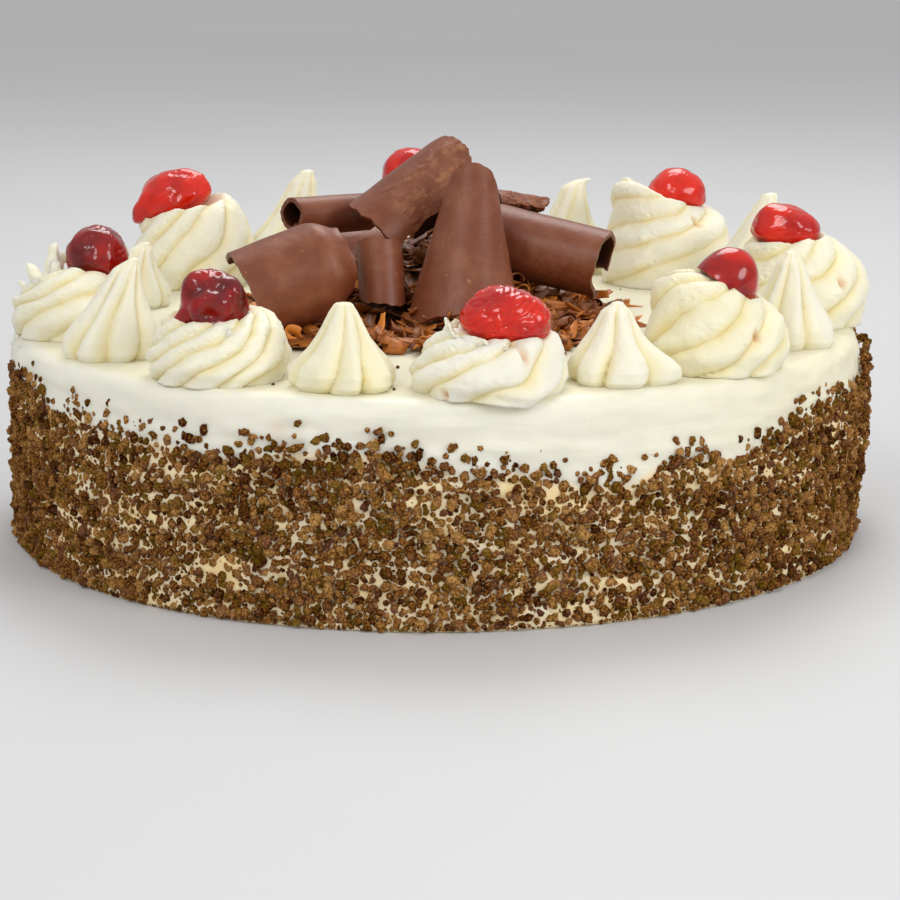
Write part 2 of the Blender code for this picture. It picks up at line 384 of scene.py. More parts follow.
def crumbMaterial(name):
    look = crumbLook
    paint = Paint(name, Specular_IOR_Level=0.08)
    tone = paint.attribute("tone")
    grain = paint.noise(1700, 5, 0.75)
    colour = paint.ramp(tone * 0.6 + grain * 2.7 - 1.16, look)
    hue = paint.noise(260, 3)
    colour = paint.blend(hue.clip(0.52, 0.66) * 0.55, colour, look["olive"])
    colour = paint.blend(hue.clip(0.47, 0.35) * 0.5, colour, look["plum"])
    pits = paint.noise(1350, 4, 0.7)
    normal = paint.bump(pits, 1.0, 0.0014)
    return paint.finish(Base_Color=colour, Roughness=grain * 0.2 + 0.68, Normal=normal)


chocolateLook = {
    "face": srgb(118, 61, 37),
    "bloom": srgb(136, 80, 55),
    "edge": srgb(122, 66, 36),
    "fleck": srgb(176, 118, 78),
    # painted shade: the dark colour of a curl's inner face, for the shade inside the roll
    "inside": srgb(46, 20, 11),
    "roughness": 0.41,
}


def chocolateMaterial(name):
    look = chocolateLook
    paint = Paint(name, Specular_IOR_Level=0.38)
    cloud = paint.noise(90, 4, 0.6)
    colour = paint.blend(cloud.clip(0.4, 0.68), look["face"], look["bloom"])
    # painted shade: inner faces take the dark inside colour
    colour = paint.blend(paint.attribute("inside"), colour, look["inside"])
    colour = paint.blend(paint.attribute("edge"), colour, look["edge"])
    rough = paint.attribute("rough")
    flecks = paint.noise(430, 2, 0.5).clip(0.69, 0.78)
    crust = paint.noise(260, 5, 0.7)
    colour = paint.blend(flecks * 0.55, colour, look["fleck"])
    colour = paint.blend(rough * crust.clip(0.46, 0.66) * 0.7, colour, look["fleck"])
    grain = paint.noise(1500, 4, 0.6)
    scars = paint.noise(130, 4, 0.6)
    lumps = crust * rough * 3 + scars
    normal = paint.bump(lumps, 0.35, 0.0009, paint.bump(grain + flecks, 0.18, 0.0002))
    roughness = cloud * 0.14 + rough * 0.2 + (look["roughness"] - 0.07)
    return paint.finish(Base_Color=colour, Roughness=roughness, Normal=normal)


shavingLook = {
    "dark": srgb(56, 24, 8),
    "middle": srgb(148, 82, 30),
    "light": srgb(216, 130, 44),
    "stops": (0.1, 0.5, 0.9),
}


def shavingMaterial(name):
    paint = Paint(name, Specular_IOR_Level=0.45)
    tone = paint.attribute("tone")
    grain = paint.noise(700, 4, 0.6)
    colour = paint.ramp(tone * 0.75 + grain * 0.5 - 0.1, shavingLook)
    normal = paint.bump(grain, 0.4, 0.0003)
    return paint.finish(Base_Color=colour, Roughness=grain * 0.2 + 0.35, Normal=normal)


# flesh, the darker flesh under it, and how rough the syrup is
cherryLook = {
    "bright": (srgb(222, 36, 6), srgb(176, 12, 0), 0.10),
    "deep": (srgb(196, 20, 0), srgb(128, 6, 0), 0.10),
    "ruby": (srgb(160, 14, 4), srgb(98, 4, 0), 0.10),
    "dark": (srgb(162, 14, 10), srgb(78, 4, 4), 0.08),
}


def cherryMaterial(name, flesh, deep, gloss):
    paint = Paint(name, Subsurface_Weight=0.25, Subsurface_Scale=0.003, Specular_IOR_Level=0.3)
    paint.shader.inputs["Subsurface Radius"].default_value = (1.0, 0.12, 0.05)
    paint.shader.inputs["Coat Roughness"].default_value = 0.05
    cloud = paint.noise(110, 3, 0.5)
    colour = paint.blend(cloud.clip(0.35, 0.7), flesh, deep)
    # painted shade: the deepest wrinkle folds take the darker flesh colour
    colour = paint.blend(paint.attribute("hollow"), colour, deep)
    veins = paint.noise(190, 3, 0.6, 1.2).clip(0.60, 0.68)
    colour = paint.blend(veins * 0.35, colour, flesh)
    streaks = paint.noise(240, 4, 0.6, 0.8)
    normal = paint.bump(streaks, 0.2, 0.0005)
    roughness = cloud * 0.12 + gloss
    return paint.finish(Base_Color=colour, Roughness=roughness, Coat_Weight=cloud * 0.3 + 0.3, Normal=normal)


cream = creamMaterial("cream")
crumbs = crumbMaterial("cakeCrumbs")
chocolate = chocolateMaterial("milkChocolate")
shaved = shavingMaterial("shavedChocolate")
cherryReds = {name: cherryMaterial("cherry" + name.title(), *look) for name, look in cherryLook.items()}
print("materials made")


def towards(turn, degrees, width):
    # 1 in that direction from the front, falling away over the width
    away = (np.degrees(turn) - degrees + 180) % 360 - 180
    return hill(away, 0, width)


def makePeak(foot, degrees, far, up, length, width, lean):
    # a torn tip of cream, blunt at its end and a little curved; all but its piece's foot in degrees and mm
    length, width = length * mm, width * mm
    out = np.array([math.sin(math.radians(degrees)), -math.cos(math.radians(degrees))])
    spot = np.array([out[0] * far * mm, out[1] * far * mm, up * mm]) + np.array(foot)
    deselectAll()
    bpy.ops.mesh.primitive_cone_add(vertices=20, radius1=width / 2, radius2=width * 0.33, depth=length)
    peak = bpy.context.object
    settle(peak)
    editMode("EDGE")
    selectEdges(peak, lambda middle, way: abs(way.z) > length * 0.5)
    bpy.ops.mesh.subdivide(number_cuts=12)
    bpy.ops.object.mode_set(mode="OBJECT")
    place = points(peak)
    rise = np.clip(place[:, 2] / length + 0.5, 0, 1)
    place[:, 2] += length * 0.25
    place[:, :2] *= np.sqrt(np.clip(1.04 - rise**6, 0, 1))[:, None]
    place[:, :2] += width * 0.14 * np.stack([ripple(place, 420, degrees), ripple(place, 420, degrees + 9)], 1)
    place[:, :2] += np.outer(length * lean * rise**1.6, out)
    setPoints(peak, place + spot)
    setAttribute(peak, "warm", 0.3)
    outward(peak)
    return peak


def joinTo(obj, extras):
    # the extras become part of the piece
    if not extras:
        return
    pick(obj)
    for extra in extras:
        extra.select_set(True)
    bpy.ops.object.join()


cakeSize = {
    "sides": 480,
    "rows": 44,  # cuts up the side
    "rings": 34,  # rings on the top and how far apart they lie
    "ringStep": 3.1 * mm,
    "radius": 117.6 * mm,
    "height": 57.2 * mm,
    "edge": 4.6 * mm,
    "strokeDepth": 0.75 * mm,
    "wobble": 0.5 * mm,
    "lip": 1.3 * mm,  # how far the palette knife's ridge stands out
    # how much of the painted yellow groove shade lies evenly over all of the cake
    "hollow": 0.04,  # how yellow all of it is
    "smudge": (-18.8, 49.4),  # a pink smudge on the side: degrees from the front, height in mm
    # where the rim is ragged: degrees from the front, how far each way, and how much in mm
    "ragged": [(66, 16, 1.5), (-82, 9, 1.2), (150, 20, 1.0), (-140, 14, 1.0)],
    "bulge": (86, 17, 2.4),  # where the crumb coat is thicker: degrees from the front, how far, mm
    # torn peaks on the rim: degrees from the front, distance from the middle, height, length and width
    # in mm, and how far each leans outwards
    "torn": [
        (-79, 115.4, 54.4, 3.8, 3.4, 0.3),
        (-84, 114.6, 55.6, 3.2, 3.0, 0.3),
        (-73, 115.6, 53.6, 3.0, 3.2, 0.3),
    ],
}

# the crumb coat's upper edge: degrees from the front and height in mm
crumbEdge = [(-180, 44), (-155, 46), (-130, 43), (-110, 46), (-90, 44.5), (-79, 44), (-72, 48.5), (-65, 49.5)]
crumbEdge += [(-57, 43), (-50, 46.5), (-44, 42.5), (-38, 44), (-29, 41.5), (-24, 41.8), (-18, 44.5), (-7, 45)]
crumbEdge += [(0, 41.5), (4, 38.7), (9, 40), (18, 35.8), (24, 35.3), (28, 39), (34, 39), (41, 37), (48, 39)]
crumbEdge += [(55, 44.8), (64, 44.5), (72, 41.5), (77, 45), (82, 47.5), (92, 46.5), (115, 44), (135, 46)]
crumbEdge += [(160, 42.5), (180, 44)]


def crumbLine(degrees):
    return np.interp(degrees, *zip(*crumbEdge)) * mm


def crumbBulge(turn, height):
    side, width, much = cakeSize["bulge"]
    return much * mm * towards(turn, side, width) * smooth(6 * mm, 30 * mm, height)


def makeCakeBody():
    size = cakeSize
    deselectAll()
    bpy.ops.mesh.primitive_cylinder_add(
        vertices=size["sides"],
        radius=size["radius"],
        depth=size["height"],
        location=(0, 0, size["height"] / 2),
    )
    cake = bpy.context.object
    cake.name = "frostedCake"
    settle(cake)
    top = size["height"]
    editMode("EDGE")
    selectEdges(cake, lambda middle, way: middle.z > top - 1e-5)
    bpy.ops.mesh.bevel(offset=size["edge"], segments=7, affect="EDGES")
    bpy.ops.mesh.select_mode(type="FACE")
    selectFaces(cake, lambda middle, normal: normal.z > 0.99 and middle.z > top - 1e-5)
    for _ in range(size["rings"]):
        bpy.ops.mesh.inset(thickness=size["ringStep"])
    bpy.ops.mesh.select_mode(type="EDGE")
    selectEdges(cake, lambda middle, way: abs(way.z) > 30 * mm)
    bpy.ops.mesh.subdivide(number_cuts=size["rows"])
    bpy.ops.object.mode_set(mode="OBJECT")
    spots = points(cake)
    turn = turnOf(spots)
    reach = np.hypot(spots[:, 0], spots[:, 1])
    out = np.stack([np.sin(turn), -np.cos(turn)], 1)
    side = smooth(size["radius"] - 7 * mm, size["radius"] - 1 * mm, reach)
    rounded = roundPoints(turn, spots[:, 2] / mm / 5, 6)
    strokes = ripple(rounded * np.array([1, 1, 1.7]), 1.0, 3.0) + 0.5 * ripple(rounded, 2.7, 9.0)
    swell = ripple(roundPoints(turn, spots[:, 2] * 12), 1.6, 1.0)
    push = (size["strokeDepth"] * strokes + size["wobble"] * swell) * side
    push[spots[:, 2] < 1e-5] = 0
    # the upper edge carries a low ridge that comes and goes, where the palette knife left it
    lip = hill(spots[:, 2], top - 4 * mm, 2.4 * mm) * side
    ridge = np.clip(ripple(roundPoints(turn), 5.0, 20.0), 0, 1)
    push += size["lip"] * lip * ridge
    for angle, width, much in size["ragged"]:
        lumps = ripple(rounded * np.array([1, 1, 1.4]), 4.2, 31.0) + 0.6 * ripple(rounded, 9.0, 37.0)
        push += much * mm * lip * lumps * towards(turn, angle, width)
    degrees = np.degrees(turn)
    above = spots[:, 2] - crumbLine(degrees)
    coated = 1 - smooth(-2.5 * mm, 0.5 * mm, above)
    push += crumbBulge(turn, spots[:, 2]) * coated * side
    # a smear of thicker cream just over the crumbs
    smear = hill(above, 2.8 * mm, 1.3 * mm)
    smear *= np.clip(0.5 + ripple(rounded, 1.5, 43.0), 0, 1.2)
    push += mm * side * smear * (0.2 + 1.1 * towards(turn, 60, 15) + 0.5 * towards(turn, -48, 20))
    spots[:, :2] += out * push[:, None]
    flat = (1 - side) * smooth(top - 2 * mm, top - 0.2 * mm, spots[:, 2])
    spots[:, 2] += flat * 0.35 * mm * (ripple(spots, 55, 4.0) + 0.5 * ripple(spots, 170, 8.0) - 0.6)
    setPoints(cake, spots)
    patchy = 0.75 + 0.5 * ripple(spots, 130, 6.0)
    setAttribute(cake, "peach", np.clip(coated * side * patchy, 0, 1))
    setAttribute(cake, "hollow", size["hollow"])
    # the flat top takes more warm tint, as painted shade; the side is warmer towards 68 degrees from the
    # front
    setAttribute(cake, "warm", 0.38 * (1 - side) + 0.5 * side * towards(turn, 68, 38))
    angle, height = size["smudge"]
    far = np.hypot((degrees - angle) * 2.06, spots[:, 2] / mm - height)
    setAttribute(cake, "stain", 0.22 * hill(far, 0, 2.2) * side)
    outward(cake)
    joinTo(cake, [makePeak((0, 0, 0), *torn) for torn in size["torn"]])
    hand(cake, cream, "crumb_coat", "cake")
    print("frosted cake made,", len(cake.data.polygons), "faces")


makeCakeBody()


crumbCoat = {
    "seed": 11,
    "shapes": 16,
    "skin": 117.5 * mm,
    "kinds": [
        # name, number, smallest and largest crumb, how far apart they keep, lumps in each crumb
        ("crumbsCoarse", 1700, 3.3 * mm, 5.0 * mm, 0.78, 3),
        ("crumbsMedium", 3300, 2.5 * mm, 3.5 * mm, 0.68, 3),
        ("crumbsSmall", 4900, 1.8 * mm, 2.6 * mm, 0.60, 2),
        ("crumbsFine", 5600, 0.8 * mm, 1.6 * mm, 0.56, 1),
    ],
    # crumbs dropped on the cream: degrees from the front, distance from the middle and size in mm
    "dropped": [
        (-54, 104.6, 0.9),
        (-51.4, 98.4, 0.7),
        (-22.6, 104.2, 1.0),
        (-7.5, 74, 1.1),
        (-5.7, 102.8, 0.9),
    ],
    "droppedElsewhere": 26,
    "bigOne": (-16.7, 44.8, 7.6),  # one large oval crumb by itself: degrees, height and length in mm
    "footShare": 0.07,  # how many lie along the very foot
    "bare": 0.22,  # a lower value leaves more bare cream between the crumbs
    "close": (-38, 26),  # where the coat is closer: degrees from the front and how far each way
    "cell": 5.0 * mm,  # crumbs are only tested against those in the cells round their own
}


def crumbShape(seed, lumps):
    # a cluster of knobbly lumps, about 1 across
    dice = random.Random(seed)
    parts = []
    for number in range(lumps):
        deselectAll()
        way = Vector([dice.gauss(0, 1) for _ in range(3)]).normalized()
        radius = 0.5 if lumps == 1 else (dice.uniform(0.25, 0.34) if number else 0.38)
        bpy.ops.mesh.primitive_ico_sphere_add(
            subdivisions=1,
            radius=radius,
            location=way * (dice.uniform(0.26, 0.36) if number else 0),
            rotation=(dice.uniform(0, 3), dice.uniform(0, 3), 0),
        )
        settle(bpy.context.object)
        parts.append(bpy.context.object)
    for part in parts:
        part.select_set(True)
    if lumps > 1:
        bpy.ops.object.join()
    lump = bpy.context.object
    spots = points(lump)
    setPoints(lump, spots * (1 + 0.4 * ripple(spots, 3.6, seed * 7.3)[:, None]))
    return triangles(lump)


def makeCrumbs():
    dice = random.Random(crumbCoat["seed"])
    skin = crumbCoat["skin"]
    cell = crumbCoat["cell"]
    taken = {}

    def free(across, height, size, spacing):
        column, row = int(across // cell), int(height // cell)
        for i in (-1, 0, 1):
            for j in (-1, 0, 1):
                for a, h, s in taken.get((column + i, row + j), ()):
                    if math.hypot(a - across, h - height) < spacing * (s + size) / 2:
                        return False
        taken.setdefault((column, row), []).append((across, height, size))
        return True

    for name, count, small, large, spacing, lumps in crumbCoat["kinds"]:
        kinds = [crumbShape(seed + 50 * lumps, lumps) for seed in range(crumbCoat["shapes"])]
        placings = []
        if name == "crumbsCoarse":
            angle, height, size = crumbCoat["bigOne"]
            turn = math.radians(angle)
            free(turn * skin, height * mm, size * mm, 1)
            spot = aroundSpot(skin + 1.2 * mm, turn, height * mm)
            spin = Matrix.Rotation(turn, 4, "Z") @ Matrix.Rotation(-0.3, 4, "Y")
            oval = Matrix.Diagonal((size * mm * 0.85, size * mm * 0.5, size * mm * 0.42, 1))
            placings.append((4, Matrix.Translation(spot) @ spin @ oval, 0.5))
        tries = 0
        while len(placings) < count and tries < count * 30:
            tries += 1
            turn = dice.uniform(-math.pi, math.pi)
            edge = float(crumbLine(math.degrees(turn)))
            size = small + (large - small) * dice.random() ** 1.4
            wave = noise.noise(Vector((math.sin(turn) * 30, math.cos(turn) * 30, 2.0)))
            wave += 0.6 * noise.noise(Vector((math.sin(turn) * 75, math.cos(turn) * 75, 7.0)))
            edge += wave * 2.6 * mm
            height = dice.uniform(size * 0.5, edge + 6 * mm)
            if dice.random() < crumbCoat["footShare"]:
                height = size * dice.uniform(0.35, 0.8)
            above = height - edge
            stray = 0.42 if lumps == 3 else 0.14
            if above > -1 * mm and dice.random() > stray * math.exp(-(above + 1 * mm) / (2.0 * mm)):
                continue
            place = Vector((math.sin(turn), math.cos(turn), height * 8.5))
            thin = 0.7 * noise.noise(place * 17) + 0.9 * noise.noise(place * 41)
            left = float(towards(turn, *crumbCoat["close"]))
            thick = 0.14 * float(smooth(15, 55, abs(math.degrees(turn) - 15))) + 0.12 * left
            if thin > crumbCoat["bare"] + thick and dice.random() < 0.92:
                continue
            if not free(turn * skin, height, size, spacing * (1 - 0.1 * left)):
                continue
            lift = size * dice.uniform(-0.04, 0.18) + float(crumbBulge(turn, height))
            spot = aroundSpot(skin + lift, turn, height)
            spin = Matrix.Rotation(turn, 4, "Z") @ Matrix.Rotation(dice.uniform(-0.6, 0.6), 4, "X")
            spin = spin @ Matrix.Rotation(dice.uniform(0, math.tau), 4, "Y")
            matrix = Matrix.Translation(spot) @ spin @ Matrix.Diagonal((size, size * 0.88, size, 1))
            tone = min(1, max(0, dice.gauss(0.5, 0.26)))
            placings.append((dice.randrange(len(kinds)), matrix, tone))
        if name == "crumbsFine":
            dropped = [(math.radians(a), r * mm, s * mm) for a, r, s in crumbCoat["dropped"]]
            for _ in range(crumbCoat["droppedElsewhere"]):
                turn, reach = dice.uniform(0.9, 5.4), dice.uniform(60, 116) * mm
                dropped.append((turn, reach, dice.uniform(0.4, 0.9) * mm))
            for turn, reach, size in dropped:
                spot = aroundSpot(reach, turn, cakeSize["height"])
                matrix = Matrix.Translation(spot) @ Matrix.Scale(size, 4)
                placings.append((dice.randrange(len(kinds)), matrix, 0.15))
        piece = copiesAsOne(name, kinds, placings)
        spots = points(piece)
        spots[:, 2] = np.maximum(spots[:, 2], 0.05 * mm)  # none goes below the cake's foot
        setPoints(piece, spots)
        piece.data.shade_smooth()
        hand(piece, crumbs, "crumb_coat")
        print(name, len(placings), "crumbs,", len(piece.data.polygons), "faces")


makeCrumbs()


# size across, front to back and up, in mm; tilt about X and Y in degrees; pucker of the skin and depth
# of its wrinkles
cherryKeys = ("red", "size", "tilt", "pucker", "wrinkle")
cherryRows = {
    1: ("bright", (22.5, 18, 14), (8, 6), 0.06, 0.05),
    2: ("deep", (16.5, 15.5, 11.5), (-9, 38), 0.04, 0.0),
    3: ("bright", (18.5, 17, 13), (0, 10), 0.08, 0.012),
    4: ("bright", (18, 17, 13), (-4, 10), 0.06, 0.012),
    5: ("bright", (18, 17, 14), (0, -10), 0.06, 0.012),
    6: ("bright", (24.5, 18, 15), (-2, -20), 0.08, 0.015),
    7: ("ruby", (17.5, 17, 15), (4, 6), 0.09, 0.02),
    8: ("dark", (18.5, 17, 16), (6, -6), 0.08, 0.02),
}
cherryShapes = tableOf(cherryKeys, cherryRows)
halvedCherry = 2  # it is flat underneath
stonedCherry = 8  # its hole faces front

# ridges round the dome, turns they make from foot to top, first ridge, groove depth in mm; stands is how
# far one broad turn of the cream stands out (mm) and starts where the turn begins; swell is where the
# dome stands higher (degrees from the front) and by how much; spread pushes its foot out one way
rosetteKeys = ("ridges", "twist", "first", "depth", "stands", "starts", "swell", "spread")
rosetteRows = {
    1: (7, 0.36, 0.3, 2.6, 1.4, 20, (60, 2.5), (18, 1.5)),
    2: (8, 0.44, 0.6, 2.5, 1.6, 100, (-95, 3.5), (60, 0.8)),
    3: (7, 0.48, 0.1, 2.3, 1.6, 60, (90, 1.8), (80, 2.0)),
    4: (5, 0.95, 0.0, 1.6, 2.2, -60, (-95, 4.0), (80, 1.0)),
    5: (7, 0.85, 0.4, 1.8, 1.4, 0, (120, 1.5), (0, 0.5)),
    6: (8, 0.35, 0.3, 2.2, 1.4, 60, (75, 4.5), (80, 1.0)),
    7: (7, 0.50, 0.5, 2.2, 1.2, 100, (-95, -4.5), (-90, 0.8)),
    8: (10, 0.38, 0.0, 2.2, 1.2, 60, (95, 2.8), (60, 0.5)),
}
rosetteShapes = tableOf(rosetteKeys, rosetteRows)

# torn peaks of cream: rosette, degrees from its front, distance from its middle, height up it,
# length, width (mm), and how far each leans outwards
creamPeaks = [
    (8, 18, 10.5, 9.5, 5.5, 4.0, 0.15),
    (7, -84, 7.4, 14.8, 13.0, 5.2, -0.06),
    (7, -70, 6.6, 13.4, 9.0, 4.4, 0.0),
    (7, -88, 10.0, 12.6, 8.5, 5.4, 0.45),
    (7, -95, 12.6, 9.8, 5.5, 3.8, 0.8),
    (7, -60, 10.4, 11.0, 6.0, 5.0, 0.2),
]
# torn frills round a cherry's seat: rosette, first and last degrees from the cherry's front, height in mm
creamFrills = [(1, -118, 14, 4.3), (7, -128, -52, 3.6)]
# where a foot hangs over the rim: degrees from the rosette's front, width in degrees, how far in mm
footDroops = {1: (32, 26, 3.0), 8: (0, 30, 0.8)}
rosetteWarmth = {1: 0.05, 2: 0.5, 3: 0.35, 4: 0.2}
wetSeats = {7: 0.6, 8: 0.6, 6: 0.2}  # how much syrup has run into the cream under the cherry
# small pits with orange syrup in them: degrees from the front and height, in mm
rosettePits = {1: [(30, 11.5), (-35, 1.5)], 2: [(32, 10.5)], 3: [(38, 13)], 4: [(38, 20)]}


def cherrySpot(number):
    low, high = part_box(f"cherry_{number}")
    return (low + high) / 2, (high - low) / 2


def makeFrill(centre, half, first, last, tall):
    # a thin torn edge of cream that stands up round a cherry
    frill, flat = newGrid(90, 8)
    run, rise = flat[:, 0] + 0.5, flat[:, 1] + 0.5
    turn = np.radians(first + (last - first) * run)
    rim = flatPoints(run * 9)
    torn = np.clip(0.58 + 0.75 * ripple(rim, 1.0, first) + 0.45 * ripple(rim, 2.2, last), 0.1, 1.3)
    lean = (0.45 + 0.4 * ripple(rim, 0.8, 30)) * rise**1.5 + 0.15 * ripple(rim, 1.3, 60)
    reach = 1.1 * mm + lean * tall * mm * 0.7
    level = centre.z + half.z * (-0.95 + 0.5 * (1 - np.cos(turn))) - 1.2 * mm
    place = np.stack([(half.x + reach) * np.sin(turn), -(half.y + reach) * np.cos(turn), level], 1)
    place[:, 2] += tall * mm * rise * torn * np.sin(np.pi * np.clip(run, 0.01, 0.99)) ** 0.4
    place[:, :2] += np.array(centre)[:2]
    setPoints(frill, place)
    setAttribute(frill, "warm", 0.3)
    # painted shade: the frill is yellower towards its foot
    setAttribute(frill, "hollow", 0.5 * (1 - rise))
    applyModifier(frill, "SOLIDIFY", thickness=0.8 * mm, offset=0)
    applyModifier(frill, "SUBSURF", levels=1, render_levels=1)
    outward(frill)
    return frill


def makeRosette(number):
    name = f"rosette_{number}"
    shape = rosetteShapes[number]
    low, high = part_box(name)
    middle = (low + high) / 2
    radius = (high.x - low.x) / 2 * 1.03
    height = (high.z - low.z) * 1.02
    seed = number * 13.7
    dome, _, turn, polar = newBall(f"pipedRosette{number}", 216, 108)
    climb = np.clip((polar - 0.12) / 0.88, 0, 1)
    bend = climb * np.pi / 2
    reach = np.where(climb > 0, np.cos(bend) ** 0.62, smooth(0.0, 0.12, polar))
    reach = reach * (0.93 + 0.07 * smooth(0.0, 0.14, climb))
    rise = np.sin(bend) ** 0.80
    ring = roundPoints(turn, climb * 1.5)
    drift = 0.05 * ripple(ring, 1.1, seed) + 0.012 * ripple(ring, 3.1, seed + 6)
    phase = shape["ridges"] * (turn / math.tau - shape["twist"] * climb**0.85 + drift) + shape["first"]
    lap = 1 - phase % 1  # each ridge laps over the one below it
    crest = np.sin(np.pi * lap**0.72) ** 0.66
    uneven = ripple(roundPoints(turn, climb * 4, 2), 1.5, seed + 5)
    swirl = np.cos(turn - math.radians(shape["starts"]) - math.tau * (shape["twist"] + 0.35) * climb)
    place = aroundSpots(radius * reach, turn, height * rise)
    out = place / np.array([radius**2, radius**2, height**2])
    grow = out / (np.linalg.norm(out, axis=1)[:, None] + 1e-9)
    close = smooth(0.02, 0.14, polar) * (1 - 0.5 * smooth(0.75, 1.0, climb))
    push = -shape["depth"] * (1 + 0.5 * uneven) * (1 - crest) * (1 - 0.3 * climb)
    push += shape["stands"] * swirl * smooth(0.1, 0.5, climb) + 0.7 * uneven * (1 - climb)
    fine = ripple(place, 900, seed) * 0.10 + ripple(place, 330, seed + 2) * 0.22
    fringe = hill(lap, 0.16, 0.10)
    fine += ripple(place, 1300, seed + 4) * (0.10 + 0.40 * fringe)
    place += grow * ((push + fine) * mm * close)[:, None]
    side, extra = shape["swell"]
    lobe = towards(turn, side, 75) * smooth(0.2, 0.55, climb) * smooth(0, 0.35, reach)
    place[:, 2] += extra * mm * lobe
    side, extra = shape["spread"]
    lobe = towards(turn, side, 45) * hill(climb, 0.22, 0.25) * smooth(0, 0.1, polar)
    place[:, 0] += extra * mm * lobe * np.sin(turn)
    place[:, 1] -= extra * mm * lobe * np.cos(turn)
    stain = np.zeros(len(place))
    for degrees, pitHeight in rosettePits.get(number, ()):
        across = np.radians((np.degrees(turn) - degrees + 180) % 360 - 180) * radius * 0.9
        dent = np.exp(-((across / (1.0 * mm)) ** 2) - (((place[:, 2] - pitHeight * mm) / (1.4 * mm)) ** 2))
        place -= grow * (2.0 * mm * dent)[:, None]
        stain = np.maximum(stain, 0.6 * dent)
    place[:, 2] = np.maximum(place[:, 2], 0)
    side, wide, much = footDroops.get(number, (0, 1, 0))
    footed = smooth(0.84, 1.08, np.hypot(*place[:, :2].T) / radius)
    place[:, 2] -= much * mm * towards(turn, side, wide) * footed
    place += np.array([middle.x, middle.y, low.z - 0.4 * mm])
    # the cherry presses a seat into the top, open towards the front, and the cream rises round the rest
    centre, half = cherrySpot(number)
    away = place - np.array(centre)
    across = np.hypot(away[:, 0] / half.x, away[:, 1] / half.y)
    ahead = smooth(-0.3, 0.5, -away[:, 1] / (np.hypot(away[:, 0], away[:, 1]) + 1e-6))
    rim = centre.z + half.z * (-0.80 + 0.55 * smooth(0.7, 1.5, across) + 0.5 * (1 - ahead))
    rim += 0.7 * mm * uneven * crest
    if number == halvedCherry:  # its cut face lies on the cream
        cut = math.tan(math.radians(cherryShapes[number]["tilt"][1])) * -away[:, 0] - 1.0 * mm
        rim = np.maximum(rim, centre.z + np.clip(cut, -half.z, 0.75 * half.z))
    share = 1 - smooth(1.15, 1.75, across)
    place[:, 2] -= np.maximum(place[:, 2] - rim, 0) * share
    ball = np.linalg.norm((place - np.array(centre)) / np.array(half), axis=1)
    setPoints(dome, place)
    # painted shade: the grooves between the ridges are made yellower
    setAttribute(dome, "hollow", np.clip((1 - crest) ** 1.1 * (0.85 + 0.5 * uneven), 0, 1))
    wet = np.clip(1 - smooth(0.95, 1.42, ball + 0.15 * uneven), 0, 1) * wetSeats.get(number, 0.06)
    setAttribute(dome, "stain", np.maximum(stain, wet))
    setAttribute(dome, "peach", 0)
    setAttribute(dome, "warm", rosetteWarmth.get(number, 0.25))
    outward(dome)
    foot = (middle.x, middle.y, low.z)
    peaks = [makePeak(foot, *peak) for which, *peak in creamPeaks if which == number]
    peaks += [makeFrill(centre, half, *frill) for which, *frill in creamFrills if which == number]
    joinTo(dome, peaks)
    hand(dome, cream, "cream", name)


for number in range(1, 9):
    makeRosette(number)
print("rosettes piped")


# ridges and how deep their grooves are; tip is how blunt; hook bends the last of the tip over (mm); lean
# moves the tip to the right (mm); wide is where the foot spreads further, in degrees from the front, and
# by how much; warmth is how creamy its white is
kissKeys = ("ridges", "depth", "tip", "hook", "lean", "wide", "warmth")
kissRows = {
    1: (6, 0.34, 0.13, 0.5, 0, (75, 0.30), 0.2),
    2: (7, 0.28, 0.13, 0.0, 0, (60, 0.06), 0.2),
    3: (7, 0.20, 0.20, 0.0, 7, (-90, 0.05), 0.2),
    4: (7, 0.14, 0.13, 4.0, 3, (85, 0.60), 0.2),
    5: (7, 0.20, 0.16, 0.5, 5, (-90, 0.15), 0.2),
    6: (8, 0.24, 0.14, 0.5, 4, (0, 0.0), 0.2),
    7: (8, 0.26, 0.12, 1.0, 5.5, (-90, 0.06), 0.2),
    8: (7, 0.30, 0.20, 0.0, 0, (-80, 0.03), 0.45),
}
kissShapes = tableOf(kissKeys, kissRows)
# how wide a kiss is at each level, as shares of its foot and height; None is its own tip
kissLevels = (0.0, 0.08, 0.20, 0.32, 0.45, 0.60, 0.75, 0.88, 0.96, 1.0)
kissWidths = (0.92, 1.02, 1.0, 0.88, 0.71, 0.54, 0.40, 0.29, None, 0.0)


